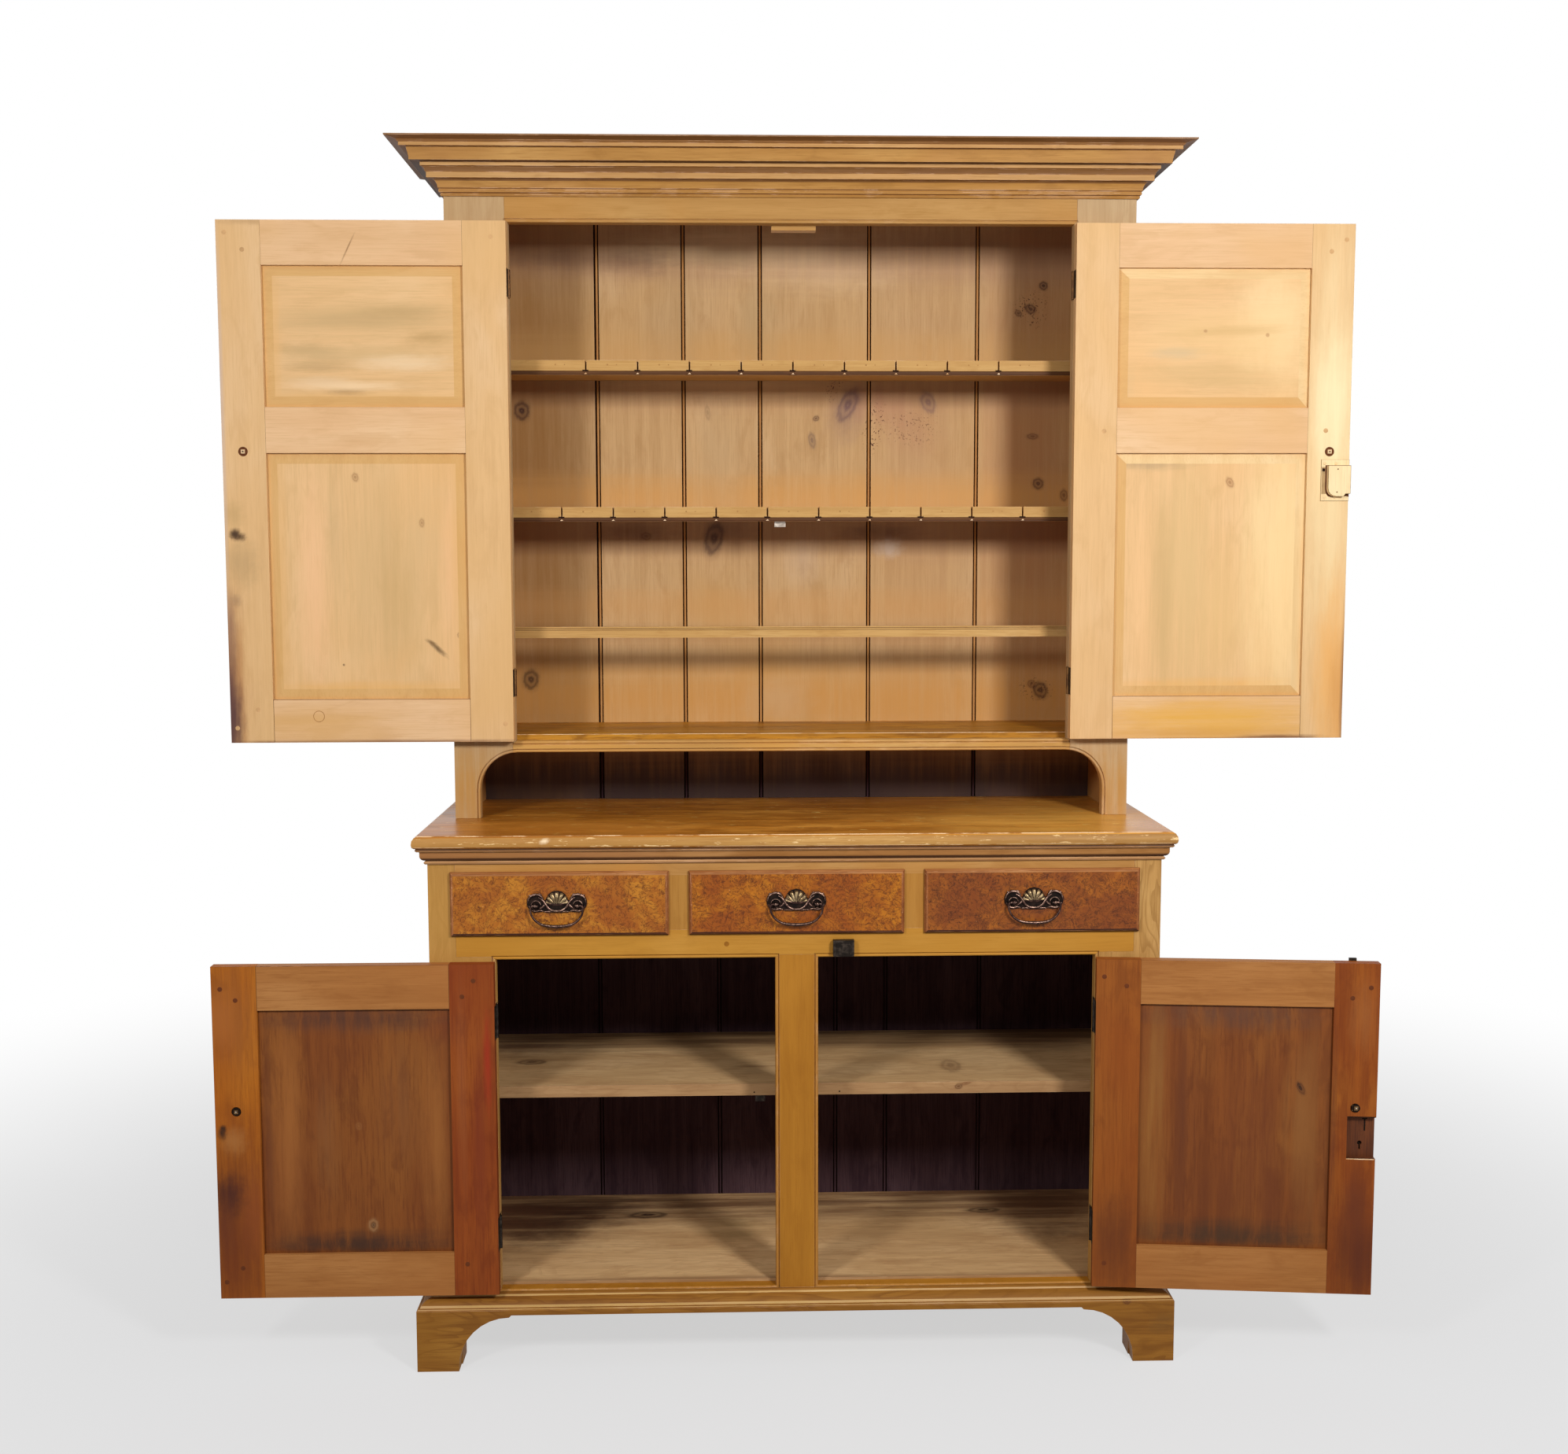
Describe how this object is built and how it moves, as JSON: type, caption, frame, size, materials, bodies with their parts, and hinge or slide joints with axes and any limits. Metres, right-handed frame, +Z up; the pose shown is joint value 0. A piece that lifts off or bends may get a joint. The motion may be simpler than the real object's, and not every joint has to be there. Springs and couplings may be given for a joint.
{
  "type": "step back cupboard",
  "caption": "Tall two-part painted pine cupboard with open panelled doors, spoon shelves, a pie shelf, bail-handled drawers and bracket feet.",
  "frame": {"origin": "on the floor, in the middle of the cupboard's overall width and depth, with the doors open as in the picture", "axes": "+Z up; +Y from the front to the back; +X to the right of someone facing the front"},
  "size_m": [2.0478, 0.5458, 2.18],
  "materials": {
    "outside_paint": "satin",
    "counter_paint": "satin",
    "inside_paint": "satin",
    "door_paint": "satin",
    "bare_pine": "matte",
    "red_wood": "satin",
    "dark_wood": "matte",
    "burl_paint": "gloss",
    "brass": "satin",
    "iron": "matte"
  },
  "bodies": {
    "case": {"lower_side_left": "outside_paint", "lower_side_right": "outside_paint", "lower_stile_left": "outside_paint", "lower_stile_right": "outside_paint", "lower_back_boards": "dark_wood", "lower_bottom_board": "bare_pine", "lower_shelf": "bare_pine", "lower_centre_frame": "outside_paint", "drawer_frame": "outside_paint", "counter_top": "counter_paint", "counter_moulding": "outside_paint", "bracket_base": "outside_paint", "latch_keeper": "iron", "upper_side_left": "outside_paint", "upper_side_right": "outside_paint", "upper_stile_left": "outside_paint", "upper_stile_right": "outside_paint", "upper_back_boards": "inside_paint", "upper_floor_board": "inside_paint", "upper_top_board": "bare_pine", "upper_top_rail": "outside_paint", "upper_arch_rail": "outside_paint", "cornice": "outside_paint", "spoon_shelf_upper": "inside_paint", "spoon_shelf_lower": "inside_paint", "plate_rail": "inside_paint", "hinge_upper_left_bottom": "iron", "hinge_upper_left_top": "iron", "hinge_upper_right_bottom": "iron", "hinge_upper_right_top": "iron", "hinge_lower_left_bottom": "iron", "hinge_lower_left_top": "iron", "hinge_lower_right_bottom": "iron", "hinge_lower_right_top": "iron"},
    "door_upper_left": {"upper_left_door_frame": "door_paint", "upper_left_door_panel_lower": "door_paint", "upper_left_door_panel_upper": "door_paint", "upper_left_knob": "outside_paint"},
    "door_upper_right": {"upper_right_door_frame": "door_paint", "upper_right_door_panel_lower": "door_paint", "upper_right_door_panel_upper": "door_paint", "upper_right_knob": "outside_paint", "lock_case": "door_paint"},
    "door_lower_left": {"lower_left_door_frame": "red_wood", "lower_left_door_panel": "red_wood", "lower_left_knob": "outside_paint"},
    "door_lower_right": {"lower_right_door_frame": "red_wood", "lower_right_door_panel": "red_wood", "lower_right_knob": "outside_paint", "catch_plate": "iron"},
    "bolt": {"lock_bolt": "iron"},
    "drawer_left_box": {"drawer_left": "burl_paint", "pull_plate_left": "brass"},
    "bail_left_handle": {"bail_left": "brass"},
    "drawer_middle_box": {"drawer_middle": "burl_paint", "pull_plate_middle": "brass"},
    "bail_middle_handle": {"bail_middle": "brass"},
    "drawer_right_box": {"drawer_right": "burl_paint", "pull_plate_right": "brass"},
    "bail_right_handle": {"bail_right": "brass"}
  },
  "joints": [
    {"name": "upper_left_door_hinge", "type": "hinge", "parent": "case", "child": "door_upper_left", "pos_m": [-0.51245, -0.00306, 1.575], "axis": [0, 0, 1], "range_deg": [0, 180]},
    {"name": "upper_right_door_hinge", "type": "hinge", "parent": "case", "child": "door_upper_right", "pos_m": [0.51245, -0.00306, 1.575], "axis": [0, 0, -1], "range_deg": [0, 180]},
    {"name": "lower_left_door_hinge", "type": "hinge", "parent": "case", "child": "door_lower_left", "pos_m": [-0.53045, -0.19606, 0.438], "axis": [0, 0, 1], "range_deg": [0, 180]},
    {"name": "lower_right_door_hinge", "type": "hinge", "parent": "case", "child": "door_lower_right", "pos_m": [0.53045, -0.19606, 0.438], "axis": [0, 0, -1], "range_deg": [-6.2, 173.8]},
    {"name": "lock_bolt_slide", "type": "slide", "parent": "door_upper_right", "child": "bolt", "axis": [1, 0, 0], "range_m": [0, 0.01]},
    {"name": "drawer_left_slide", "type": "slide", "parent": "case", "child": "drawer_left_box", "axis": [0, -1, 0], "range_m": [0, 0.35]},
    {"name": "drawer_middle_slide", "type": "slide", "parent": "case", "child": "drawer_middle_box", "axis": [0, -1, 0], "range_m": [0, 0.35]},
    {"name": "drawer_right_slide", "type": "slide", "parent": "case", "child": "drawer_right_box", "axis": [0, -1, 0], "range_m": [0, 0.35]},
    {"name": "bail_left_swing", "type": "hinge", "parent": "drawer_left_box", "child": "bail_left_handle", "pos_m": [-0.4207, -0.21236, 0.838], "axis": [-1, 0, 0], "range_deg": [0, 120]},
    {"name": "bail_middle_swing", "type": "hinge", "parent": "drawer_middle_box", "child": "bail_middle_handle", "pos_m": [-0.001, -0.21236, 0.838], "axis": [-1, 0, 0], "range_deg": [0, 120]},
    {"name": "bail_right_swing", "type": "hinge", "parent": "drawer_right_box", "child": "bail_right_handle", "pos_m": [0.4187, -0.21236, 0.838], "axis": [-1, 0, 0], "range_deg": [0, 120]}
  ]
}
